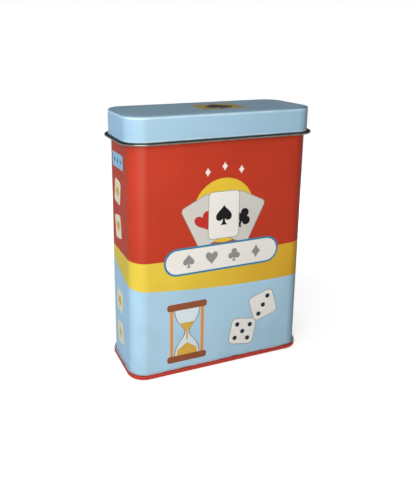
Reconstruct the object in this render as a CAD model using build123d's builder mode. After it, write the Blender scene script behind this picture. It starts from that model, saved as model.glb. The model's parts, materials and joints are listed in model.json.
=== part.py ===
"""Card game tin with a hinged lid: four pieces of tinplate and wire, in millimetres.

+Z is up and the tin's front faces -Y. The origin is the middle of the footprint, on the surface
that the tin stands on. Each sheet piece is a bent section, drawn at the back wall in the YZ plane
as the middle line of the sheet, and swept round the outline of the tin. Its rolled edges are
series of small flats, each touching the roll's circle.
"""

import os
from math import cos, radians, sin, tan

from build123d import *

# Body
body_width = 84.0
body_depth = 33.0
overall_height = 117.0
corner_radius = 7.0
sheet = 0.25

# Neck: the top of the body steps in under the lid and ends in a safe rolled rim
neck_inset = 1.2
shoulder_rise = 0.8
shoulder_height = 1.6
rim_radius = 0.8
rim_wrap = 270.0
rim_flats = 12

# Lid
lid_height = 12.1
lid_gap = 0.95
lid_rest_gap = 0.25
lid_edge_radius = 1.0
lid_edge_flats = 16
flare_radius = 0.4
flare_flats = 12
curl_stand_off = 0.6
curl_wrap = 290.0
curl_flats = 14

# Hinge: a wire in the lid's rear curl, held by two loops of the body's back wall
wire_radius = 0.40
wire_clearance = 0.05
wire_end_setback = 1.0
wire_chamfer = 0.1
loop_width = 9.0
loop_pitch = 40.0
loop_side_gap = 0.3
loop_top_gap = 0.3
loop_wrap = 300.0
tongue_angle = 60.0
tongue_bend = 0.8
tongue_root = 1.5
lance_gap = 0.3
lance_corner = 0.6

# Base and the double seam that holds it
seam_height = 2.6
seam_slack = 0.08
seam_flats = 8
hook_gap = 0.15
panel_height = 2.4
panel_bend = 0.5
bead_start = 2.2
bead_run = 0.6
bead_rise = 0.5
bead_shelf = 1.6

# Lock seam of the wrapped body, down the middle of the back
lock_width = 4.0
lock_folds = 2
lock_margin = 1.4
lock_line_width = 0.3
lock_line_depth = 0.12

# Worked out from the sizes above
half_width = body_width / 2
half_depth = body_depth / 2
wall_line = half_depth - sheet / 2
neck_line = wall_line - neck_inset
neck_top = overall_height - sheet - lid_rest_gap
curl_outer = wire_radius + wire_clearance + sheet
curl_line = curl_outer - sheet / 2
lid_inside = half_depth + lid_gap
lid_wall_line = lid_inside + sheet / 2
hinge_y = lid_inside + curl_stand_off + curl_outer
hinge_z = overall_height - lid_height + curl_outer
rim_line = rim_radius - sheet / 2
loop_places = (-loop_pitch / 2, loop_pitch / 2)

# Layers of the double seam, from the middle line of the body wall outward
layer = sheet + seam_slack
cover_hook_line = wall_line + layer
body_hook_line = wall_line + 2 * layer
seam_wall_line = wall_line + 3 * layer
chuck_line = wall_line - layer
seam_foot = 2 * layer + sheet / 2
seam_crown = seam_height - sheet / 2 - layer


def rolled(centre_y, centre_z, radius, start, turn, flats_per_turn):
    """Corners of the sheet's middle line round a roll, from the flat that touches it at start."""
    flats = max(round(abs(turn) * flats_per_turn / 360), 1)
    step = turn / flats
    reach = radius / cos(radians(step / 2))
    angles = [radians(start + step * (place + 0.5)) for place in range(flats)]
    return [(centre_y + reach * cos(angle), centre_z + reach * sin(angle)) for angle in angles]


def roll_end(centre_y, centre_z, radius, start, turn):
    """Free end of a rolled edge: the point where its last flat touches the roll's circle."""
    angle = radians(start + turn)
    return centre_y + radius * cos(angle), centre_z + radius * sin(angle)


def tin_outline():
    """Closed path round the outside of the body, with rounded upright corners."""
    with BuildLine() as outline:
        FilletPolyline(
            (0, half_depth),
            (half_width, half_depth),
            (half_width, -half_depth),
            (0, -half_depth),
            radius=corner_radius,
        )
        mirror(about=Plane.YZ)
    return outline.wire()


outline = tin_outline()

# The tongue leaves the wall at a bend and meets the loop where the loop runs its way
tongue_turn = radians(tongue_angle)
tongue_end_y = hinge_y + curl_line * cos(tongue_turn)
tongue_end_z = hinge_z - curl_line * sin(tongue_turn)
tongue_corner_z = tongue_end_z - (tongue_end_y - wall_line) / tan(tongue_turn)
tongue_bend_reach = tongue_bend * tan(tongue_turn / 2)
tongue_leaves_z = tongue_corner_z - tongue_bend_reach
tongue_straight = (tongue_end_y - wall_line) / sin(tongue_turn) - tongue_bend_reach
tongue_length = tongue_bend * tongue_turn + tongue_straight + curl_line * radians(loop_wrap)

# Body shell: hook of the base seam, wall, shoulder, neck and rolled rim in one sheet
shoulder_z = hinge_z + shoulder_rise
rim = (neck_line - rim_line, neck_top - rim_radius, rim_line, 0, rim_wrap)
with BuildPart() as body_shell:
    with BuildSketch(Plane.YZ):
        with BuildLine():
            Polyline(
                (body_hook_line, seam_crown - hook_gap),
                *rolled(cover_hook_line, seam_foot, layer, 0, -180, seam_flats),
                (wall_line, shoulder_z),
                (neck_line, shoulder_z + shoulder_height),
                *rolled(*rim, rim_flats),
                roll_end(*rim),
            )
        trace(line_width=sheet)
    sweep(path=outline)

    # Lock seam: folded layers inside, and the fold's line outside
    lock_bottom = seam_height + lock_margin
    lock_top = tongue_leaves_z
    with BuildSketch(Plane.XY.offset(lock_bottom)):
        with Locations((0, half_depth - sheet - lock_folds * sheet / 2)):
            Rectangle(lock_width, lock_folds * sheet)
    extrude(amount=lock_top - lock_bottom)
    with BuildSketch(Plane.XY.offset(lock_bottom)):
        with Locations((lock_width / 2, half_depth)):
            Rectangle(lock_line_width, 2 * lock_line_depth)
    extrude(amount=lock_top - lock_bottom, mode=Mode.SUBTRACT)

    # Windows that the two tongues are lanced from
    window_width = loop_width + 2 * lance_gap
    window_height = tongue_length + lance_gap
    with BuildSketch(Plane.XZ.offset(-half_depth - sheet)):
        with Locations(*[(x, tongue_leaves_z + window_height / 2) for x in loop_places]):
            RectangleRounded(window_width, window_height, lance_corner)
    extrude(amount=neck_inset + 3 * sheet, mode=Mode.SUBTRACT)

    # Tongues, bent out and rolled round the hinge wire
    for x in loop_places:
        with BuildSketch(Plane.YZ.offset(x - loop_width / 2)):
            with BuildLine():
                FilletPolyline(
                    (wall_line, tongue_leaves_z - tongue_root),
                    (wall_line, tongue_corner_z),
                    (tongue_end_y, tongue_end_z),
                    radius=tongue_bend,
                )
                CenterArc((hinge_y, hinge_z), curl_line, -tongue_angle, loop_wrap)
            trace(line_width=sheet)
        extrude(amount=loop_width)
body_shell.part.label = "body_shell"

# Base panel: beaded panel, wall down inside the body, and the outer layers of the double seam
panel_line = panel_height - sheet / 2
bead_line = panel_line + bead_rise
shelf_line = half_depth - bead_start - bead_run - bead_shelf
panel_corner = (chuck_line - panel_bend, panel_line - panel_bend, panel_bend, 90, -90)
with BuildPart() as base_panel:
    with BuildSketch(Plane.YZ):
        with BuildLine():
            Polyline(
                (shelf_line, bead_line),
                (half_depth - bead_start - bead_run, bead_line),
                (half_depth - bead_start, panel_line),
                *rolled(*panel_corner, seam_flats),
                *rolled(cover_hook_line, seam_foot, 2 * layer, 180, 180, seam_flats),
                *rolled(body_hook_line, seam_crown, layer, 0, 180, seam_flats),
                (cover_hook_line, seam_foot + hook_gap),
            )
        trace(line_width=sheet)
    sweep(path=outline)
    shelf_inset = half_depth - shelf_line - bead_shelf / 2
    with BuildSketch(Plane.XY.offset(bead_line - sheet / 2)):
        RectangleRounded(
            body_width - 2 * shelf_inset,
            body_depth - 2 * shelf_inset,
            corner_radius - shelf_inset,
        )
    extrude(amount=sheet)
base_panel.part.label = "base_panel"

# Lid shell: flat top, and a skirt that flares out into the curl at its edge
lid_top_line = overall_height - sheet / 2
lid_lap = 2 * lid_edge_radius
lid_edge_line = lid_edge_radius - sheet / 2
lid_edge = (lid_wall_line - lid_edge_line, lid_top_line - lid_edge_line, lid_edge_line, 90, -90)
flare_z = hinge_z + curl_line + flare_radius
flare = (lid_wall_line + flare_radius, flare_z, flare_radius, 180, 90)
curl = (hinge_y, hinge_z, curl_line, 90, -curl_wrap)
with BuildPart() as lid_shell:
    with BuildSketch(Plane.YZ):
        with BuildLine():
            Polyline(
                (half_depth - 2 * lid_lap, lid_top_line),
                *rolled(*lid_edge, lid_edge_flats),
                *rolled(*flare, flare_flats),
                *rolled(*curl, curl_flats),
                roll_end(*curl),
            )
        trace(line_width=sheet)
    sweep(path=outline)
    with BuildSketch(Plane.XY.offset(overall_height - sheet)):
        RectangleRounded(
            body_width - 2 * lid_lap, body_depth - 2 * lid_lap, corner_radius - lid_lap
        )
    extrude(amount=sheet)

    # The rear curl and the skirt above it are notched where the body's loops sit
    notch_width = loop_width + 2 * loop_side_gap
    notch_bottom = hinge_z - 2 * curl_outer
    notch_top = flare_z + loop_top_gap
    with BuildSketch(Plane.XZ.offset(-hinge_y - 2 * curl_outer)):
        with Locations(*[(x, (notch_bottom + notch_top) / 2) for x in loop_places]):
            Rectangle(notch_width, notch_top - notch_bottom)
    extrude(amount=3 * curl_outer + lid_gap, mode=Mode.SUBTRACT)
lid_shell.part.label = "lid_shell"

# Hinge wire: straight, hidden in the rear curl but for the two notches
wire_length = body_width - 2 * corner_radius - 2 * wire_end_setback
with BuildPart() as hinge_wire:
    with BuildSketch(Plane.YZ.offset(-wire_length / 2)):
        with Locations((hinge_y, hinge_z)):
            Circle(wire_radius)
    extrude(amount=wire_length)
    chamfer(hinge_wire.edges().filter_by(GeomType.CIRCLE), length=wire_chamfer)
hinge_wire.part.label = "hinge_wire"

os.makedirs("parts", exist_ok=True)
for piece in (body_shell, base_panel, lid_shell, hinge_wire):
    export_step(piece.part, f"parts/{piece.part.label}.step")
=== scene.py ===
"""Looks of the card game tin: smooth rolled sheet metal, printed enamel, generic card motifs."""

import json
from math import cos, radians, sin

import bmesh
import bpy
from mathutils import Matrix, Vector

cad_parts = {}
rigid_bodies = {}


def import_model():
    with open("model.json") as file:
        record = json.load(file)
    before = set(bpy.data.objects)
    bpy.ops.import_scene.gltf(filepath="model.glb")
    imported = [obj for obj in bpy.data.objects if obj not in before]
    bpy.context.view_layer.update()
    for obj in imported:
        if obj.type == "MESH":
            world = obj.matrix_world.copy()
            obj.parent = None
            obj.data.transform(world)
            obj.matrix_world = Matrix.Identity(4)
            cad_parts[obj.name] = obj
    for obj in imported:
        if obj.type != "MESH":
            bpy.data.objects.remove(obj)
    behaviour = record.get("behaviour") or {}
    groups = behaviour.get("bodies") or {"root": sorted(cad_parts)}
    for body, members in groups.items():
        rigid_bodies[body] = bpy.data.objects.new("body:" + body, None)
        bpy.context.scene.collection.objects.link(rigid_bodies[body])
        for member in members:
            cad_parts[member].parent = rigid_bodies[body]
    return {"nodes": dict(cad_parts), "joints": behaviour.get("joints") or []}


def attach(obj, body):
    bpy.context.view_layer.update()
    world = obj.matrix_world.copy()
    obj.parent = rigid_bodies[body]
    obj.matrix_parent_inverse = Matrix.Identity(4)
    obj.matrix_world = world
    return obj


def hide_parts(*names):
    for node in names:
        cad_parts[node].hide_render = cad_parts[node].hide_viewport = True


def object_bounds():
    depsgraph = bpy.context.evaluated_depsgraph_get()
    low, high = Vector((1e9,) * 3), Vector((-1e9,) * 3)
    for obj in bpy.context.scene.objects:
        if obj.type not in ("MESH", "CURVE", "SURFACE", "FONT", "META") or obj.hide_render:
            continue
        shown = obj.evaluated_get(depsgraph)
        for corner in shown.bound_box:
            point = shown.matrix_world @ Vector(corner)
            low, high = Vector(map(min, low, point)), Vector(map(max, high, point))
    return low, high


for leftover in list(bpy.data.objects):
    bpy.data.objects.remove(leftover)

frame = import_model()
cad_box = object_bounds()
nodes = frame["nodes"]
MM = 0.001

# ---------------------------------------------------------------- sizes, mm, as in the CAD source
HALF_WIDTH = 42.0
HALF_DEPTH = 16.5
CORNER = 7.0
SHEET = 0.25
HEIGHT = round(cad_box[1][2] / MM, 3)

# Hinge axis and wire, and the body's two loops round the wire
HINGE_Y, HINGE_Z = [round(value / MM, 3) for value in frame["joints"][0]["pos_m"][1:]]
WIRE_RADIUS = 0.40
WIRE_CLEARANCE = 0.05
LOOP_PITCH = 40.0
LOOP_WIDTH = 9.0
LOOP_GAP = 0.3
LOOP_PLACES = (-LOOP_PITCH / 2, LOOP_PITCH / 2)
SHOULDER_RISE = 0.8
SHOULDER_Z = HINGE_Z + SHOULDER_RISE

# Lid: middle line of its wall, its rounded edge, and the flare and curl at the foot of its skirt
LID_GAP = 0.95
LID_WALL = HALF_DEPTH + LID_GAP + SHEET / 2
LID_EDGE_RADIUS = 1.0
LID_LAP = 2 * LID_EDGE_RADIUS
CURL_RADIUS = WIRE_RADIUS + WIRE_CLEARANCE + SHEET / 2
CURL_WRAP = 290.0
FLARE_RADIUS = 0.4
FLARE_Z = HINGE_Z + CURL_RADIUS + FLARE_RADIUS
NOTCH_HALF = LOOP_WIDTH / 2 + LOOP_GAP
NOTCH_TOP = FLARE_Z + LOOP_GAP

# Base: layers of its double seam, and its beaded panel
SEAM_SLACK = 0.08
LAYER = SHEET + SEAM_SLACK
SEAM_HEIGHT = 2.6
HOOK_GAP = 0.15
PANEL_HEIGHT = 2.4
PANEL_BEND = 0.5
BEAD_START = 2.2
BEAD_RUN = 0.6
BEAD_RISE = 0.5
BEAD_SHELF = 1.6

# ---------------------------------------------------------------- sizes of the print, mm
# Each layer of ink stands this much higher, and the lid is lowered by ten layers to make room
INK_STEP = 0.007
PRINT_LIFT = 10 * INK_STEP

# Yellow band round the body: height of each edge at the front, and how it curves and rises
BAND_TOP = 53.6
BAND_TOP_CURVE = 0.0007
BAND_TOP_RISE = 0.03
BAND_FOOT = 37.9
BAND_FOOT_X = 24.0
BAND_FOOT_CURVE = 0.00105
BAND_FOOT_SWEEP = 0.0105
BAND_FOOT_SWEEP_LIMIT = 8.5
BAND_BLUR = 0.08

# Painted highlight and painted dark reflection round the lid's upper bend, down from the top: where
# each starts, is full, fades and ends
HIGHLIGHT_LINE = (1.9, 1.2, 0.9, 0.7)
DARK_REFLECTION_LINE = (0.75, 0.6, 0.16, 0.08)
DARK_REFLECTION_STRENGTH = 0.4

# Foot of the lid's skirt: the painted highlight on its lower bend, its ragged margin, and the painted
# shade and dark reflection in the crease over the curl
HIGHLIGHT_FOOT = 0.6
LID_MARGIN_Z = FLARE_Z - 0.3
LID_MARGIN_SPREAD = 0.1
CREASE_SHADE_BLUR = 0.35
CREASE_SHADE_STRENGTH = 0.93

# Top of the base seam: its dark line of painted shade, and the heights between which its crown
# turns pale with wear and painted glints
SEAM_SHADE_Z = 2.0
SEAM_SHADE_BLUR = 0.3
SEAM_SHADE_STRENGTH = 0.8
SEAM_WEAR_AND_GLINT_Z = 2.24
SEAM_WEAR_AND_GLINT_SPREAD = 0.5

# How far outside the body's face the print of tongues and seam starts, and how much of the height
# is rubbed at the shoulder and at the foot
TONGUE_PRINT_START = 0.03
SEAM_PRINT_START = 0.3
SHOULDER_RUB = 0.9
FOOT_RUB = 0.5


# ---------------------------------------------------------------- colours
def ink(red, green, blue):
    """Linear colour of an sRGB colour given in 0-255."""
    def linear(value):
        value /= 255
        return value / 12.92 if value <= 0.04045 else ((value + 0.055) / 1.055) ** 2.4
    return (linear(red), linear(green), linear(blue), 1.0)


RED = ink(197, 60, 36)
YELLOW = ink(238, 208, 72)
# Yellow at the right of the band, deeper as painted shade
PAINTED_SHADE_YELLOW = ink(226, 176, 48)
SKY = ink(177, 213, 234)
LID_BLUE = ink(168, 204, 226)
# Painted highlight on the lid's bends
HIGHLIGHT_BLUE = ink(212, 236, 248)
# Painted shade and dark reflection, over the lid's upper bend and its curl
PAINTED_DARK = ink(40, 44, 50)
RIM_RED = ink(203, 67, 50)
# Painted shade at the top of the base seam, and its crown's wear with painted glints
RIM_SHADE = ink(64, 46, 76)
RIM_WEAR_AND_GLINT = ink(206, 190, 190)
TIN = ink(214, 211, 202)
DULL_TIN = ink(196, 191, 178)
STEEL = ink(190, 190, 190)
DULL_STEEL = ink(150, 150, 152)

# Inks of the printed motifs
INKS = {
    "white": ink(243, 239, 232),
    "cream": ink(247, 236, 196),
    "pale_grey": ink(214, 211, 203),
    "grey": ink(146, 146, 144),
    "black": ink(22, 22, 24),
    "navy": ink(24, 46, 70),
    "teal": ink(44, 134, 170),
    "label_blue": ink(150, 200, 230),
    "yellow": ink(236, 198, 60),
    "gold": ink(222, 176, 72),
    "ochre": ink(206, 176, 84),
    "red": ink(196, 50, 40),
    "orange": ink(228, 152, 74),
    "brown": ink(150, 84, 54),
    "glass": ink(222, 234, 240),
}


# ---------------------------------------------------------------- node helpers
class Graph:
    """A node tree that is written as calls."""

    def __init__(self, tree):
        tree.nodes.clear()
        self.tree = tree

    def node(self, kind, inputs=None, **settings):
        made = self.tree.nodes.new(kind)
        for key, value in settings.items():
            setattr(made, key, value)
        for key, value in (inputs or {}).items():
            self.put(made.inputs[key], value)
        return made

    def put(self, socket, value):
        if isinstance(value, bpy.types.NodeSocket):
            self.tree.links.new(value, socket)
        else:
            socket.default_value = value

    def math(self, operation, first, second=0.0, third=0.0, clamp=False):
        made = self.tree.nodes.new("ShaderNodeMath")
        made.operation = operation
        made.use_clamp = clamp
        for socket, value in zip(made.inputs, (first, second, third)):
            self.put(socket, value)
        return made.outputs[0]

    def minus(self, value, taken, clamp=False):
        return self.math("SUBTRACT", value, taken, clamp=clamp)

    def product(self, first, *others):
        for other in others:
            first = self.math("MULTIPLY", first, other)
        return first

    def highest(self, first, *others):
        for other in others:
            first = self.math("MAXIMUM", first, other)
        return first

    def above(self, value, limit):
        """1 where the value is over the limit, otherwise 0."""
        return self.math("GREATER_THAN", value, limit)

    def square(self, value):
        return self.math("POWER", value, 2.0)

    def hypotenuse(self, first, second):
        return self.math("SQRT", self.math("ADD", self.square(first), self.square(second)))

    def step(self, value, low, high, bottom=0.0, top=1.0):
        """Smooth step: bottom below low, top above high."""
        made = self.node("ShaderNodeMapRange", interpolation_type="SMOOTHSTEP")
        for socket, part in zip(made.inputs, (value, low, high, bottom, top)):
            self.put(socket, part)
        return made.outputs[0]

    def mix(self, factor, first, second):
        """Blend of two colours."""
        made = self.node("ShaderNodeMix", data_type="RGBA")
        for place, value in ((0, factor), (6, first), (7, second)):
            self.put(made.inputs[place], value)
        return made.outputs[2]

    def mix_values(self, factor, first, second):
        made = self.node("ShaderNodeMix", {0: factor, 2: first, 3: second}, data_type="FLOAT")
        return made.outputs[0]

    def noise(self, vector, scale, detail=2.0, roughness=0.5):
        made = self.node(
            "ShaderNodeTexNoise",
            {"Vector": vector, "Scale": scale, "Detail": detail, "Roughness": roughness},
        )
        return made.outputs["Fac"]

    def stretch(self, vector, factors):
        made = self.node("ShaderNodeVectorMath", {0: vector, 1: factors}, operation="MULTIPLY")
        return made.outputs[0]

    def place(self):
        """Object position in mm."""
        coordinates = self.node("ShaderNodeTexCoord").outputs["Object"]
        inputs = {0: coordinates, "Scale": 1 / MM}
        return self.node("ShaderNodeVectorMath", inputs, operation="SCALE").outputs[0]

    def axes(self, vector):
        return self.node("ShaderNodeSeparateXYZ", {0: vector}).outputs

    def outside(self, x, y):
        """Distance from the body's outer face, mm, positive outward."""
        over_x = self.minus(self.math("ABSOLUTE", x), HALF_WIDTH - CORNER)
        over_y = self.minus(self.math("ABSOLUTE", y), HALF_DEPTH - CORNER)
        round_part = self.hypotenuse(self.highest(over_x, 0.0), self.highest(over_y, 0.0))
        flat_part = self.math("MINIMUM", self.highest(over_x, over_y), 0.0)
        return self.minus(self.math("ADD", round_part, flat_part), CORNER)

    def bumps(self, *layers):
        """Normal over a chain of bumps: (height, distance in mm)."""
        normal = None
        for height, distance in layers:
            inputs = {"Height": height, "Distance": distance * MM, "Strength": 1.0}
            if normal is not None:
                inputs["Normal"] = normal
            normal = self.node("ShaderNodeBump", inputs).outputs[0]
        return normal

    def ray_kinds(self):
        """Two values: 1 for the camera's own rays, and 1 for rays sent on by gloss, metal or glass."""
        path = self.node("ShaderNodeLightPath").outputs
        return path["Is Camera Ray"], self.highest(path["Is Glossy Ray"], path["Is Transmission Ray"])


def material(name):
    look = bpy.data.materials.new(name)
    look.use_nodes = True
    return look, Graph(look.node_tree)


# ---------------------------------------------------------------- surfaces
VARNISH = 0.12
VARNISH_ROUGHNESS = 0.22
SPECULAR_LEVEL = 0.25


def finish_surface(graph, coat, inputs):
    surface = graph.node("ShaderNodeBsdfPrincipled", inputs)
    surface.inputs["Coat Weight"].default_value = coat
    surface.inputs["Coat Roughness"].default_value = VARNISH_ROUGHNESS
    surface.inputs["Specular IOR Level"].default_value = SPECULAR_LEVEL
    graph.node("ShaderNodeOutputMaterial", {"Surface": surface.outputs[0]})


def bare_tin(graph, spot):
    """Colour and roughness of bare tinplate: soft mottling and fine rolling lines."""
    mottle = graph.noise(spot, scale=0.22, detail=4.0, roughness=0.6)
    upright = graph.stretch(spot, (9.0, 9.0, 0.35))
    lines = graph.noise(upright, scale=1.0, detail=3.0, roughness=0.6)
    colour = graph.mix(graph.step(mottle, 0.35, 0.7), TIN, DULL_TIN)
    return colour, graph.math("MULTIPLY_ADD", lines, 0.22, 0.16)


def enamel(graph, spot, colour, shade=0.05):
    """Printed ink under varnish: faint cloudy tone and a fine print grain."""
    cloud = graph.noise(spot, scale=0.05, detail=3.0)
    grain = graph.noise(spot, scale=2.5, detail=1.0)
    darker = graph.node("ShaderNodeHueSaturation", {"Value": 1 - 2 * shade, "Color": colour})
    toned = graph.mix(graph.step(cloud, 0.3, 0.75), colour, darker.outputs[0])
    return graph.mix(graph.step(grain, 0.3, 0.7, 0.0, 0.06), toned, darker.outputs[0])


def enamel_relief(graph, spot):
    """Fine orange peel of the varnish over the slight waviness of thin sheet."""
    wave = graph.noise(spot, scale=0.045, detail=1.0)
    peel = graph.noise(spot, scale=0.8, detail=1.0)
    return graph.bumps((wave, 0.04), (peel, 0.0007))


def smeared(graph, spot, smooth, rough, detail=4.0, roughness=0.6):
    """Roughness of the varnish, with the smears of handling."""
    smear = graph.noise(spot, 0.09, detail, roughness)
    return graph.step(smear, 0.3, 0.7, smooth, rough)


def chips(graph, spot, rubbed, scale, limit):
    """1 where the print has chipped off, most of all where the tin is rubbed."""
    worn = graph.noise(spot, scale, detail=4.0, roughness=0.7)
    return graph.above(graph.math("ADD", worn, rubbed), limit)


def finish_print(graph, spot, covered, printed, print_rough, tin_colour, tin_rough):
    """Print where it covers the sheet, and bare tin elsewhere."""
    inputs = {
        "Base Color": graph.mix(covered, tin_colour, printed),
        "Metallic": graph.minus(1.0, covered),
        "Roughness": graph.mix_values(covered, tin_rough, print_rough),
        "Normal": enamel_relief(graph, spot),
    }
    finish_surface(graph, VARNISH, inputs)


def colour_bands(graph, x, y, z):
    """Sky blue, yellow and red ground of the body; the lines between them curve and sweep up."""
    from_front = graph.math("ADD", y, HALF_DEPTH)
    upper = graph.math("MULTIPLY_ADD", graph.square(x), BAND_TOP_CURVE, BAND_TOP)
    upper = graph.math("MULTIPLY_ADD", from_front, BAND_TOP_RISE, upper)
    from_lowest = graph.minus(x, BAND_FOOT_X)
    lower = graph.math("MULTIPLY_ADD", graph.square(from_lowest), BAND_FOOT_CURVE, BAND_FOOT)
    sweep = graph.product(graph.square(graph.highest(from_front, 0.0)), BAND_FOOT_SWEEP)
    lower = graph.math("ADD", lower, graph.math("MINIMUM", sweep, BAND_FOOT_SWEEP_LIMIT))
    over_lower = graph.step(graph.minus(z, lower), -BAND_BLUR, BAND_BLUR)
    over_upper = graph.step(graph.minus(z, upper), -BAND_BLUR, BAND_BLUR)
    # The yellow deepens towards the right: painted shade
    yellow = graph.mix(graph.step(x, -HALF_WIDTH - 2, HALF_WIDTH - 2), YELLOW, PAINTED_SHADE_YELLOW)
    return graph.mix(over_upper, graph.mix(over_lower, SKY, yellow), RED)


def body_material():
    look, graph = material("printed_body")
    spot = graph.place()
    x, y, z = graph.axes(spot)
    printed = enamel(graph, spot, colour_bands(graph, x, y, z))

    # The sheet is printed on its outer face below the shoulder, so outside on the loops too
    outside = graph.outside(x, y)
    from_wire = graph.hypotenuse(graph.minus(y, HINGE_Y), graph.minus(z, HINGE_Z))
    below_shoulder = graph.math("LESS_THAN", z, SHOULDER_Z)
    on_wall = graph.product(graph.above(outside, -SHEET / 2), below_shoulder)
    on_tongue = graph.above(outside, TONGUE_PRINT_START)
    outer_roll = graph.above(from_wire, CURL_RADIUS)
    loop_print = graph.product(on_tongue, outer_roll)
    loop_inside = graph.product(on_tongue, graph.minus(1.0, outer_roll))
    covered = graph.minus(graph.highest(on_wall, loop_print), loop_inside, clamp=True)

    # Chips in the print, most of them where the lid rubs at the shoulder
    rubbed = graph.step(z, SHOULDER_Z - SHOULDER_RUB, SHOULDER_Z, -0.3, 0.16)
    covered = graph.minus(covered, chips(graph, spot, rubbed, scale=1.6, limit=0.78), clamp=True)
    print_rough = smeared(graph, spot, 0.34, 0.42)
    finish_print(graph, spot, covered, printed, print_rough, *bare_tin(graph, spot))
    return look


def bend_line(graph, z, drops, strength=1.0):
    """Soft line round the lid's upper bend, for its painted highlight and its painted dark reflection.
    """
    start, full, fading, end = [HEIGHT - drop for drop in drops]
    return graph.product(graph.step(z, start, full), graph.step(z, fading, end, strength, 0.0))


def lid_material():
    look, graph = material("blue_lid")
    spot = graph.place()
    x, y, z = graph.axes(spot)
    printed = enamel(graph, spot, LID_BLUE, shade=0.03)

    # The outer face is printed, down to a ragged margin just above the curl
    outside = graph.outside(x, y)
    on_skirt = graph.above(outside, LID_GAP + SHEET / 2)
    on_top = graph.above(z, HEIGHT - SHEET / 2 - PRINT_LIFT)
    edge_out = graph.minus(outside, LID_GAP + SHEET - LID_EDGE_RADIUS)
    edge_up = graph.minus(z, HEIGHT - LID_EDGE_RADIUS)
    in_edge = graph.product(graph.above(edge_out, 0.0), graph.above(edge_up, 0.0))
    edge_reach = graph.hypotenuse(graph.highest(edge_out, 0.0), graph.highest(edge_up, 0.0))
    outer_edge = graph.above(edge_reach, LID_EDGE_RADIUS - SHEET / 2 - PRINT_LIFT)
    on_edge = graph.product(in_edge, outer_edge)
    ragged = graph.noise(spot, scale=0.8, detail=3.0)
    margin = graph.math("MULTIPLY_ADD", ragged, LID_MARGIN_SPREAD, LID_MARGIN_Z)
    over_margin = graph.above(z, margin)
    covered = graph.product(graph.highest(on_skirt, on_top, on_edge), over_margin)

    # Painted highlight along both bends, and a faint painted dark reflection over the upper one
    lower_bend_highlight = graph.step(z, FLARE_Z, FLARE_Z + HIGHLIGHT_FOOT, 1.0, 0.0)
    uneven = graph.step(graph.noise(spot, scale=0.12), 0.25, 0.75, 0.35, 0.9)
    bend_highlight = graph.product(graph.highest(bend_line(graph, z, HIGHLIGHT_LINE), lower_bend_highlight), uneven)
    printed = graph.mix(bend_highlight, printed, HIGHLIGHT_BLUE)
    printed = graph.mix(bend_line(graph, z, DARK_REFLECTION_LINE, DARK_REFLECTION_STRENGTH), printed, PAINTED_DARK)

    # Painted shade and dark reflection on the bare tin in the crease over the curl
    tin_colour, tin_rough = bare_tin(graph, spot)
    shade_over_curl = graph.step(z, HINGE_Z, HINGE_Z + CREASE_SHADE_BLUR, 0.0, CREASE_SHADE_STRENGTH)
    tin_colour = graph.mix(graph.product(on_skirt, shade_over_curl), tin_colour, PAINTED_DARK)
    print_rough = smeared(graph, spot, 0.32, 0.41)
    finish_print(graph, spot, covered, printed, print_rough, tin_colour, tin_rough)
    return look


def base_material():
    look, graph = material("red_base")
    spot = graph.place()
    x, y, z = graph.axes(spot)

    # Painted shade as a dark line round the top of the seam, with pale places where its crown is worn
    # that also carry painted glints
    shade = graph.step(z, SEAM_SHADE_Z, SEAM_SHADE_Z + SEAM_SHADE_BLUR, 0.0, SEAM_SHADE_STRENGTH)
    printed = graph.mix(shade, enamel(graph, spot, RIM_RED, shade=0.04), RIM_SHADE)
    places = graph.noise(spot, scale=0.15, detail=3.0)
    wear_and_glint_over = graph.math("MULTIPLY_ADD", places, SEAM_WEAR_AND_GLINT_SPREAD, SEAM_WEAR_AND_GLINT_Z)
    printed = graph.mix(graph.above(z, wear_and_glint_over), printed, RIM_WEAR_AND_GLINT)

    # Outer face of the seam is printed, with chips, most of them at the foot
    rubbed = graph.step(z, 0.0, FOOT_RUB, 0.14, 0.0)
    on_seam = graph.above(graph.outside(x, y), SEAM_PRINT_START)
    covered = graph.minus(on_seam, chips(graph, spot, rubbed, scale=2.2, limit=0.8), clamp=True)
    finish_print(graph, spot, covered, printed, 0.3, *bare_tin(graph, spot))
    return look


def wire_material():
    look, graph = material("steel_wire")
    along = graph.stretch(graph.place(), (0.3, 12.0, 12.0))
    lines = graph.noise(along, scale=1.0, detail=3.0, roughness=0.6)
    inputs = {
        "Base Color": graph.mix(lines, STEEL, DULL_STEEL),
        "Metallic": 1.0,
        "Roughness": graph.math("MULTIPLY_ADD", lines, 0.2, 0.18),
        "Normal": graph.bumps((lines, 0.004)),
    }
    finish_surface(graph, 0.0, inputs)
    return look


def ink_material(name, colour):
    look, graph = material("ink_" + name)
    spot = graph.place()
    inputs = {
        "Base Color": enamel(graph, spot, colour, shade=0.03),
        "Roughness": smeared(graph, spot, 0.26, 0.34, detail=2.0, roughness=0.5),
        "Normal": enamel_relief(graph, spot),
    }
    finish_surface(graph, VARNISH, inputs)
    return look


# ---------------------------------------------------------------- rolled sheet
CORNER_STEPS = 18
STRAIGHT_STEP = 3.5
SKIRT_RINGS = (113.0, 110.0)
SHARP_ANGLE = 38


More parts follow.
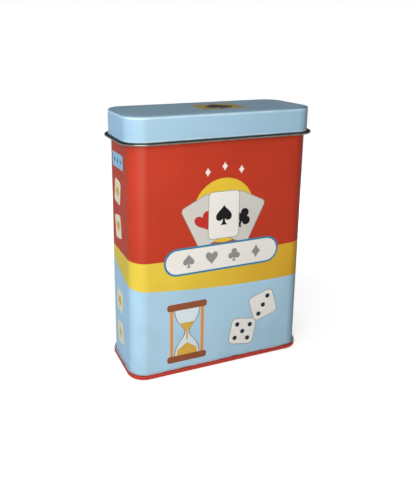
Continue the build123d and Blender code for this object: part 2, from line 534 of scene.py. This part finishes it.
def outline_points(breaks):
    """Closed outline of the body, clockwise from above: (x, y, normal x, normal y).

    The back wall, which is the last side, also gets a point at each x in breaks.
    """
    flat_x = HALF_WIDTH - CORNER
    flat_y = HALF_DEPTH - CORNER
    ends = ((flat_x, flat_y, 90), (flat_x, -flat_y, 0), (-flat_x, -flat_y, -90), (-flat_x, flat_y, -180))
    points = []
    for side, (x, y, start) in enumerate(ends):
        for step in range(CORNER_STEPS + 1):
            angle = radians(start - 90 * step / CORNER_STEPS)
            nx, ny = cos(angle), sin(angle)
            points.append((x + CORNER * nx, y + CORNER * ny, nx, ny))
        x1, y1 = points[-1][:2]
        x2, y2 = ends[(side + 1) % 4][:2]
        x2, y2 = x2 + CORNER * nx, y2 + CORNER * ny
        steps = round((abs(x2 - x1) + abs(y2 - y1)) / STRAIGHT_STEP)
        shares = [step / steps for step in range(1, steps)]
        if side == 3:
            shares = sorted({*shares, *[(value - x1) / (x2 - x1) for value in breaks]})
        points += [(x1 + (x2 - x1) * share, y1 + (y2 - y1) * share, nx, ny) for share in shares]
    return points


def arc(centre_u, centre_v, radius, start, turn, steps):
    angles = [radians(start + turn * step / steps) for step in range(steps + 1)]
    return [(centre_u + radius * cos(angle), centre_v + radius * sin(angle)) for angle in angles]


def linked_piece(name, mesh):
    """Object in the scene, made of a finished mesh."""
    data = bpy.data.meshes.new(name)
    mesh.to_mesh(data)
    mesh.free()
    piece = bpy.data.objects.new(name, data)
    bpy.context.scene.collection.objects.link(piece)
    return piece


def rolled_sheet(name, line, breaks=(), hole=None):
    """Sheet swept round the outline from its middle line of (y at the back wall, z) points.

    The first ring of points is closed by a flat plate. Faces for which hole is true are left out.
    """
    outline = outline_points(breaks)
    mesh = bmesh.new()
    rings = []
    for reach, z in line:
        off = reach - HALF_DEPTH
        spots = [Vector((x + nx * off, y + ny * off, z)) * MM for x, y, nx, ny in outline]
        rings.append([mesh.verts.new(spot) for spot in spots])
    count = len(outline)
    for upper, lower in zip(rings, rings[1:]):
        for place in range(count):
            following = (place + 1) % count
            corners = (upper[place], upper[following], lower[following], lower[place])
            middle = sum((vertex.co for vertex in corners), Vector()) / 4 / MM
            if hole is None or not hole(middle):
                mesh.faces.new(corners)
    mesh.faces.new(list(reversed(rings[0])))
    loose = [vertex for vertex in mesh.verts if not vertex.link_faces]
    bmesh.ops.delete(mesh, geom=loose, context="VERTS")
    return thickened(linked_piece(name, mesh))


def thickened(piece):
    """The piece, with its surface thickened both ways and shaded smooth over its rolls."""
    thicken = piece.modifiers.new("thicken", "SOLIDIFY")
    thicken.thickness = SHEET * MM
    thicken.offset = 0.0
    thicken.use_even_offset = True
    bpy.context.view_layer.update()
    evaluated = piece.evaluated_get(bpy.context.evaluated_depsgraph_get())
    final = bpy.data.meshes.new_from_object(evaluated)
    piece.modifiers.clear()
    piece.data = final
    final.name = piece.name
    final.shade_smooth()
    final.set_sharp_from_angle(angle=radians(SHARP_ANGLE))
    return piece


def lid_piece():
    edge_line = LID_EDGE_RADIUS - SHEET / 2
    top = HEIGHT - SHEET / 2 - PRINT_LIFT
    line = [(HALF_DEPTH - 2 * LID_LAP, top)]
    line += arc(LID_WALL - edge_line, top - edge_line, edge_line, 90, -90, steps=10)
    line += [(LID_WALL, z) for z in (*SKIRT_RINGS, NOTCH_TOP)]
    line += arc(LID_WALL + FLARE_RADIUS, FLARE_Z, FLARE_RADIUS, 180, 90, steps=8)
    line += arc(HINGE_Y, HINGE_Z, CURL_RADIUS, 90, -CURL_WRAP, steps=30)

    def in_notch(middle):
        at_loop = any(abs(middle.x - x) < NOTCH_HALF for x in LOOP_PLACES)
        return at_loop and middle.y > HALF_DEPTH and middle.z < NOTCH_TOP

    breaks = [x + side * NOTCH_HALF for x in LOOP_PLACES for side in (-1, 1)]
    return rolled_sheet("lid_skin", line, breaks, in_notch)


def base_piece():
    wall = HALF_DEPTH - SHEET / 2
    cover_hook = wall + LAYER
    body_hook = wall + 2 * LAYER
    chuck = wall - LAYER
    foot = 2 * LAYER + SHEET / 2
    crown = SEAM_HEIGHT - SHEET / 2 - LAYER
    panel_line = PANEL_HEIGHT - SHEET / 2
    bead_line = panel_line + BEAD_RISE
    bead_end = HALF_DEPTH - BEAD_START - BEAD_RUN
    line = [(bead_end - BEAD_SHELF, bead_line), (bead_end, bead_line)]
    line += [(HALF_DEPTH - BEAD_START, panel_line)]
    line += arc(chuck - PANEL_BEND, panel_line - PANEL_BEND, PANEL_BEND, 90, -90, steps=6)
    line += arc(cover_hook, foot, 2 * LAYER, 180, 180, steps=16)
    line += arc(body_hook, crown, LAYER, 0, 180, steps=12)
    line += [(cover_hook, foot + HOOK_GAP)]
    return rolled_sheet("base_rim", line)


lid = lid_piece()
base = base_piece()
for piece, body, node, slot, look in (
    (lid, "lid", "lid_shell", "blue_lid", lid_material()),
    (base, "tin_body", "base_panel", "red_base", base_material()),
):
    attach(piece, body)
    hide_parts(node)
    piece.data.materials.clear()
    piece.data.materials.append(look)

for node, look in (("body_shell", body_material()), ("hinge_wire", wire_material())):
    nodes[node].material_slots[0].material = look


# ---------------------------------------------------------------- outlines of the printed motifs
def curve(start, first, second, end, steps=10):
    """Points of a cubic curve after its start."""
    points = []
    for step in range(1, steps + 1):
        t = step / steps
        weights = ((1 - t) ** 3, 3 * t * (1 - t) ** 2, 3 * t * t * (1 - t), t ** 3)
        corners = (start, first, second, end)
        points.append(tuple(sum(w * p[axis] for w, p in zip(weights, corners)) for axis in (0, 1)))
    return points


def mirrored(half):
    """Closed outline from its right half, which runs from top to bottom on the middle line."""
    return half + [(-u, v) for u, v in reversed(half) if abs(u) > 1e-6]


def with_stalk(half):
    """Right half of a suit's outline, ended by its flared stalk."""
    stalk = curve(half[-1], (0.12, -0.70), (0.20, -0.90), (0.40, -1.0))
    return half + stalk + [(0.0, -1.0)]


def spade():
    half = [(0.0, 1.0)]
    half += curve(half[-1], (0.18, 0.60), (0.85, 0.30), (0.85, -0.15))
    half += curve(half[-1], (0.85, -0.62), (0.30, -0.68), (0.11, -0.36))
    return mirrored(with_stalk(half))


def heart():
    half = [(0.0, 0.48)]
    half += curve(half[-1], (0.16, 0.95), (0.92, 1.08), (0.92, 0.38))
    half += curve(half[-1], (0.92, -0.12), (0.28, -0.50), (0.0, -1.0))
    return mirrored(half)


def club():
    half = arc(0.0, 0.50, 0.44, 90, -122, steps=14)
    half += arc(0.49, -0.16, 0.44, 105, -255, steps=24)
    return mirrored(with_stalk(half))


def diamond():
    half = [(0.0, 1.0)]
    half += curve(half[-1], (0.18, 0.62), (0.42, 0.26), (0.72, 0.0))
    half += curve(half[-1], (0.42, -0.26), (0.18, -0.62), (0.0, -1.0))
    return mirrored(half)


def disc(radius, steps=64):
    return arc(0.0, 0.0, radius, 0, 360 - 360 / steps, steps - 1)


def panel(width, height, radius):
    """Rectangle with rounded corners."""
    points = []
    for u, v, start in ((1, 1, 0), (-1, 1, 90), (-1, -1, 180), (1, -1, 270)):
        points += arc(u * (width / 2 - radius), v * (height / 2 - radius), radius, start, 90, steps=8)
    return points


def bulb(width, height, waist):
    """Outline of a sand timer's glass."""
    side, neck = width / 2, waist / 2
    half = [(0.0, height / 2), (side, height / 2)]
    half += curve(half[-1], (side, height * 0.2), (neck, height * 0.14), (neck, 0.0))
    half += curve(half[-1], (neck, -height * 0.14), (side, -height * 0.2), (side, -height / 2))
    return mirrored(half + [(0.0, -height / 2)])


def turned(point, at, scale, turn):
    """Point scaled and turned about the origin, then moved to its place."""
    u, v = point
    along, across = cos(radians(turn)) * scale, sin(radians(turn)) * scale
    return (at[0] + u * along - v * across, at[1] + u * across + v * along)


# ---------------------------------------------------------------- printed motifs
SUITS = (spade, heart, club, diamond)
INK_MATERIALS = {name: ink_material(name, colour) for name, colour in INKS.items()}


class Print:
    """Flat inked shapes, a few hundredths of a millimetre high, stacked on one face of the tin."""

    def __init__(self, name, to_face):
        self.name = name
        self.to_face = to_face
        self.mesh = bmesh.new()
        self.colours = []

    def add(self, outline, colour, layer, at=(0.0, 0.0), scale=1.0, turn=0.0):
        """One shape, from just inside the face up to the height of its layer."""
        spots = [turned(point, at, scale, turn) for point in outline]
        low, high = [
            [self.mesh.verts.new(self.to_face(u, v, height) * MM) for u, v in spots]
            for height in (-INK_STEP, layer * INK_STEP)
        ]
        if colour not in self.colours:
            self.colours.append(colour)
        count = len(spots)
        faces = [self.mesh.faces.new(high), self.mesh.faces.new(list(reversed(low)))]
        for place in range(count):
            following = (place + 1) % count
            corners = (low[place], low[following], high[following], high[place])
            faces.append(self.mesh.faces.new(corners))
        for face in faces:
            face.material_index = self.colours.index(colour)

    def card(self, at, width, height, turn, suit, suit_colour, face, layer):
        line = 0.5
        self.add(panel(width + line, height + line, width * 0.14), "grey", layer, at, 1.0, turn)
        self.add(panel(width, height, width * 0.13), face, layer + 1, at, 1.0, turn)
        self.add(suit(), suit_colour, layer + 2, at, width * 0.31, turn)

    def fan(self, at):
        """Three playing cards in front of a disc."""
        width, height = 14.5, 21.0
        self.add(disc(width), "yellow", 1, (at[0], at[1] + 2))
        for turn, suit, colour, face, layer in (
            (26, heart, "red", "pale_grey", 2),
            (-26, club, "black", "pale_grey", 2),
            (0, spade, "black", "white", 5),
        ):
            lean = radians(turn)
            centre = (at[0] - height * sin(lean), at[1] + height * (cos(lean) - 1))
            self.card(centre, width, height, turn, suit, colour, face, layer)

    def plaque(self, at):
        """The four suits in a rounded frame."""
        width, height, border, pitch = 56.0, 12.6, 0.9, 11.0
        inner = height - 2 * border
        self.add(panel(width, height, height / 2), "teal", 8, at)
        self.add(panel(width - 2 * border, inner, inner / 2), "white", 9, at)
        for place, suit in enumerate(SUITS):
            self.add(suit(), "grey", 10, (at[0] + (place - 1.5) * pitch, at[1]), 3.1)

    def timer(self, at):
        """Sand timer: glass, sand, two posts and two end plates."""
        height, glass_width, neck, line = 23.0, 11.6, 1.6, 1.0
        post_width, post_place = 1.5, 7.4
        plate_width, plate_height, plate_place = 19.0, 3.2, 12.6
        running = [(-3.6, 4.6), (3.6, 4.6), (0.5, 0.4), (0.3, -4.0), (-0.3, -4.0), (-0.5, 0.4)]
        fallen = [(-5.1, -11.2), (5.1, -11.2), (4.7, -8.4), (0.0, -5.2), (-4.7, -8.4)]
        self.add(bulb(glass_width + line, height, neck + line), "grey", 1, at)
        self.add(bulb(glass_width, height, neck), "glass", 2, at)
        self.add(running, "gold", 3, at)
        self.add(fallen, "gold", 3, at)
        for side in (-1, 1):
            post = (at[0] + post_place * side, at[1])
            plate = (at[0], at[1] + plate_place * side)
            self.add(panel(post_width, height, 0.4), "orange", 4, post)
            self.add(panel(plate_width, plate_height, 1.2), "brown", 5, plate)

    def die(self, at, turn, pips, layer):
        """Face of a die; the places of its pips run from -1 to 1."""
        size, line = 12.5, 0.6
        self.add(panel(size + line, size + line, size * 0.2), "grey", layer, at, 1.0, turn)
        self.add(panel(size, size, size * 0.18), "white", layer + 1, at, 1.0, turn)
        for pip in pips:
            self.add(disc(size * 0.09, 24), "navy", layer + 2, turned(pip, at, size * 0.27, turn))

    def done(self, body):
        bmesh.ops.recalc_face_normals(self.mesh, faces=self.mesh.faces[:])
        piece = linked_piece(self.name, self.mesh)
        for colour in self.colours:
            piece.data.materials.append(INK_MATERIALS[colour])
        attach(piece, body)


# Front: places are (x, height)
THREE_PIPS = ((0, 0), (1, 1), (-1, -1))
FIVE_PIPS = ((0, 0), (1, 1), (1, -1), (-1, 1), (-1, -1))
front_print = Print("front_print", lambda u, v, h: Vector((u, -HALF_DEPTH - h, v)))
front_print.fan((0.0, 72.0))
for place in ((-8.0, 91.6), (0.0, 93.6), (8.0, 91.6)):
    front_print.add(diamond(), "white", 1, place, 1.9)
front_print.plaque((0.0, 53.0))
front_print.timer((-17.0, 19.5))
front_print.die((11.0, 14.0), -10, FIVE_PIPS, layer=1)
front_print.die((21.5, 25.5), 17, THREE_PIPS, layer=4)
front_print.done("tin_body")

# Left side: places are (distance in front of the middle, height)
LABEL_PLACE = (-1.6, 95.8)
CARD_PLACES = ((-2.6, 82.0), (-2.6, 66.0), (-2.6, 30.5), (-2.6, 14.5))
CARD_TILT = 9
side_print = Print("side_print", lambda u, v, h: Vector((-HALF_WIDTH - h, -u, v)))
side_print.add(panel(14.4, 6.4, 0.6), "label_blue", 1, LABEL_PLACE)
for shift in (-4.0, 0.0, 4.0):
    side_print.add(diamond(), "navy", 2, (LABEL_PLACE[0] + shift, LABEL_PLACE[1]), 1.3)
tilt = -CARD_TILT
for suit, place in zip(SUITS, CARD_PLACES):
    side_print.add(panel(8.0, 10.6, 1.4), "cream", 1, place, 1.0, tilt)
    side_print.add(suit(), "gold", 2, place, 2.7, tilt)
    tilt = -tilt
side_print.done("tin_body")

# Lid: places are (x, y)
BADGE_PLACE = (4.0, -0.5)
lid_print = Print("lid_print", lambda u, v, h: Vector((u, v, HEIGHT - PRINT_LIFT + h)))
lid_print.add(panel(21.0, 17.0, 2.0), "ochre", 1, BADGE_PLACE)
lid_print.add(spade(), "black", 2, BADGE_PLACE, 7.4)
for x in (-12.0, -17.0, -22.0):
    lid_print.add(diamond(), "pale_grey", 1, (x, 1.0), 1.7)
lid_print.done("lid")

# ---------------------------------------------------------------- floor, metres
# Distances from the middle, between which its glow rises to plain white and its lit part fades
FLOOR_RADIUS = 3.0
GLOW_RISES = (0.09, 0.25)
LIT_PART_FADES = (0.20, 0.40)
SHADOW_GLOW = 0.60
MIRRORED_GLOW = 0.30
BOUNCE_ALBEDO = 0.35
SEEN_ALBEDO = 0.8
MIRRORED_ALBEDO = 0.10


def floor_piece():
    """White floor: it keeps the tin's shadow near the tin and is plain white further out."""
    mesh = bmesh.new()
    bmesh.ops.create_circle(mesh, cap_ends=True, radius=FLOOR_RADIUS, segments=96)
    piece = linked_piece("floor", mesh)
    look, graph = material("floor")
    coordinates = graph.node("ShaderNodeTexCoord").outputs["Object"]
    reach = graph.node("ShaderNodeVectorMath", {0: coordinates}, operation="LENGTH").outputs["Value"]
    seen, mirrored_ray = graph.ray_kinds()

    # Glow, so that the floor is white to the camera and dimmer in reflections
    level = graph.highest(seen, graph.product(mirrored_ray, MIRRORED_GLOW))
    glow = graph.product(graph.step(reach, *GLOW_RISES, SHADOW_GLOW, 1.0), level)
    shine = graph.node("ShaderNodeEmission", {"Strength": glow})

    # Lit part, which takes the shadow and fades out where the glow alone is white
    albedo = graph.mix_values(seen, BOUNCE_ALBEDO, SEEN_ALBEDO)
    albedo = graph.mix_values(mirrored_ray, albedo, MIRRORED_ALBEDO)
    grey = graph.node("ShaderNodeCombineColor", {0: albedo, 1: albedo, 2: albedo}).outputs[0]
    lit = graph.node("ShaderNodeBsdfDiffuse", {"Color": grey}).outputs[0]
    unlit = graph.node("ShaderNodeBsdfDiffuse", {"Color": (0, 0, 0, 1)}).outputs[0]
    fade = graph.product(graph.step(reach, *LIT_PART_FADES), graph.highest(seen, mirrored_ray))
    matt = graph.node("ShaderNodeMixShader", {0: fade, 1: lit, 2: unlit}).outputs[0]

    both = graph.node("ShaderNodeAddShader", {0: matt, 1: shine.outputs[0]})
    graph.node("ShaderNodeOutputMaterial", {"Surface": both.outputs[0]})
    piece.data.materials.append(look)


# ---------------------------------------------------------------- light, metres
COOL = (0.92, 0.97, 1.02, 1.0)
COOL_LEFT = (0.70, 0.96, 1.24, 1.0)
WARM_SKY = (1.06, 0.98, 0.90, 1.0)
PLAIN_WHITE = (1, 1, 1, 1)
LAMP_WARM = (1.0, 0.95, 0.89)

# Directions that the surroundings change between: height 0 at the horizon and 1 overhead, and
# sideways -1 at the left and 1 at the right
OVER_HORIZON = (0.02, 0.22)
NEAR_OVERHEAD = (0.55, 0.90)
MATT_HEIGHTS = (0.0, 0.7)
MATT_SIDEWAYS = (-1.0, 0.4)
COOL_SIDEWAYS = (-1.0, 0.1)
WARM_HEIGHTS = (0.2, 0.9)


def world_light(low, high, left_share, mirrored_low, mirrored_high, mirrored_overhead):
    """Surroundings that are white to the camera.

    Matt surfaces get low at the horizon and high overhead, times a share that falls to none on the
    right. Gloss and metal see the mirrored levels.
    """
    world = bpy.data.worlds.new("studio")
    bpy.context.scene.world = world
    world.use_nodes = True
    graph = Graph(world.node_tree)
    sideways, _, height = graph.axes(graph.node("ShaderNodeTexCoord").outputs["Generated"])
    seen, mirrored_ray = graph.ray_kinds()

    in_gloss = graph.step(height, *OVER_HORIZON, mirrored_low, mirrored_high)
    overhead = graph.step(height, *NEAR_OVERHEAD, 0.0, mirrored_overhead)
    in_gloss = graph.highest(in_gloss, overhead)
    on_matt = graph.step(height, *MATT_HEIGHTS, low, high)
    on_matt = graph.product(on_matt, graph.step(sideways, *MATT_SIDEWAYS, left_share, 0.0))
    strength = graph.highest(graph.mix_values(mirrored_ray, on_matt, in_gloss), seen)

    tint = graph.mix(graph.step(sideways, *COOL_SIDEWAYS), COOL_LEFT, COOL)
    tint = graph.mix(graph.step(height, *WARM_HEIGHTS), tint, WARM_SKY)
    tint = graph.mix(seen, tint, PLAIN_WHITE)
    light = graph.node("ShaderNodeBackground", {"Color": tint, "Strength": strength})
    graph.node("ShaderNodeOutputWorld", {"Surface": light.outputs[0]})


def area_light(name, target, azimuth, elevation, distance, size, power, glossy):
    """Lamp that faces its target; azimuth 0 is the front and 90 the right side."""
    data = bpy.data.lights.new(name, "AREA")
    data.shape = "RECTANGLE"
    data.size, data.size_y = size
    data.energy = power
    data.color = LAMP_WARM
    piece = bpy.data.objects.new(name, data)
    bpy.context.scene.collection.objects.link(piece)
    around, rise = radians(azimuth), radians(elevation)
    away = Vector((sin(around) * cos(rise), -cos(around) * cos(rise), sin(rise)))
    piece.location = Vector(target) + away * distance
    piece.rotation_mode = "QUATERNION"
    piece.rotation_quaternion = (-away).to_track_quat("-Z", "Y")
    piece.visible_glossy = glossy


# ---------------------------------------------------------------- camera, mm, degrees and pixels
CAMERA_PLACE = Vector((-109.33, -225.61, 147.56))
YAW, PITCH, ROLL = radians(21.52), radians(14.29), radians(-0.09)
PICTURE_WIDTH, PICTURE_HEIGHT = 416, 479
FOCAL_PIXELS = 568.09
CENTRE_PIXEL_X, CENTRE_PIXEL_Y = 166.2, 179.49
SENSOR = 36.0


def camera_piece():
    """Camera of the photograph, found from the corners of the tin."""
    data = bpy.data.cameras.new("camera")
    data.sensor_width = SENSOR
    data.lens = SENSOR * FOCAL_PIXELS / PICTURE_HEIGHT
    data.shift_x = (PICTURE_WIDTH / 2 - CENTRE_PIXEL_X) / PICTURE_HEIGHT
    data.shift_y = (CENTRE_PIXEL_Y - PICTURE_HEIGHT / 2) / PICTURE_HEIGHT
    data.clip_start = 0.01
    data.clip_end = 20.0
    piece = bpy.data.objects.new("camera", data)
    bpy.context.scene.collection.objects.link(piece)
    forward = Vector((sin(YAW) * cos(PITCH), cos(YAW) * cos(PITCH), -sin(PITCH)))
    right = Vector((cos(YAW), -sin(YAW), 0.0))
    up = right.cross(forward)
    right, up = right * cos(ROLL) + up * sin(ROLL), up * cos(ROLL) - right * sin(ROLL)
    turn = Matrix((right, up, -forward)).transposed()
    piece.matrix_world = Matrix.Translation(CAMERA_PLACE * MM) @ turn.to_4x4()
    bpy.context.scene.camera = piece


# ---------------------------------------------------------------- scene
floor_piece()
world_light(
    low=0.30,
    high=0.15,
    left_share=5.7,
    mirrored_low=0.30,
    mirrored_high=0.05,
    mirrored_overhead=0.7,
)

# The key lamp is two lamps, because mirrored at full strength it turns bare metal plain white
for name, distance, power, glossy in (("key", 0.19, 0.26, False), ("key_mirrored", 0.195, 0.27, True)):
    area_light(
        name,
        target=(-0.065, 0.0, 0.065),
        azimuth=-15.0,
        elevation=12.0,
        distance=distance,
        size=(0.20, 0.30),
        power=power,
        glossy=glossy,
    )
area_light(
    "fill",
    target=(0.0, 0.0, 0.06),
    azimuth=140.0,
    elevation=4.0,
    distance=0.50,
    size=(0.30, 0.30),
    power=1.25,
    glossy=False,
)
camera_piece()
bpy.context.scene.view_settings.view_transform = "Standard"
